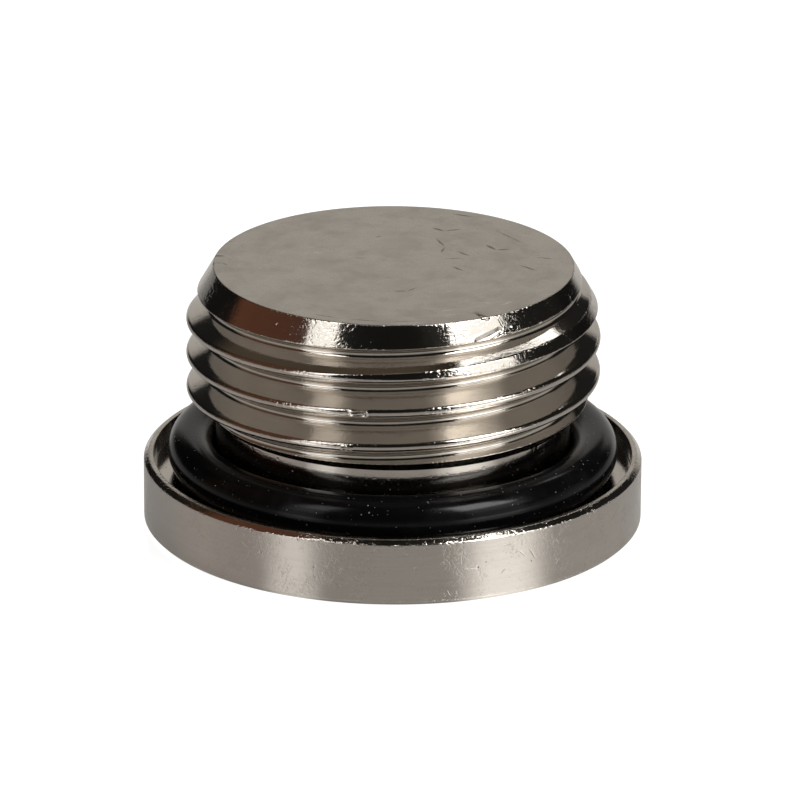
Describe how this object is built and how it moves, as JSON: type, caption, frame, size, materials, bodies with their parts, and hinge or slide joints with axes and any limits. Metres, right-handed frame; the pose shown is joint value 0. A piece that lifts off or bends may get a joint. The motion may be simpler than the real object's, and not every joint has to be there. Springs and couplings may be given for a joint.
{
  "type": "threaded blanking plug with O-ring",
  "caption": "Screw plug with a G 1/2 male pipe thread, a round flange with a hexagon key socket in its outer face, and a rubber O-ring lying in a recess under the thread.",
  "frame": {"origin": "centre of the flange's outer face, which the plug stands on", "axes": "+Z along the plug's axis, from the flange towards the end face of the thread; X through two corners of the hexagon socket"},
  "size_m": [0.0252, 0.0252, 0.0135],
  "materials": {
    "plated_brass": "nickel plated, satin faces and bright chamfers, with small scratches",
    "black_rubber": "moulded, soft sheen, a little dust"
  },
  "bodies": {
    "root": {"plug_body": "plated_brass", "o_ring": "black_rubber"}
  },
  "joints": []
}
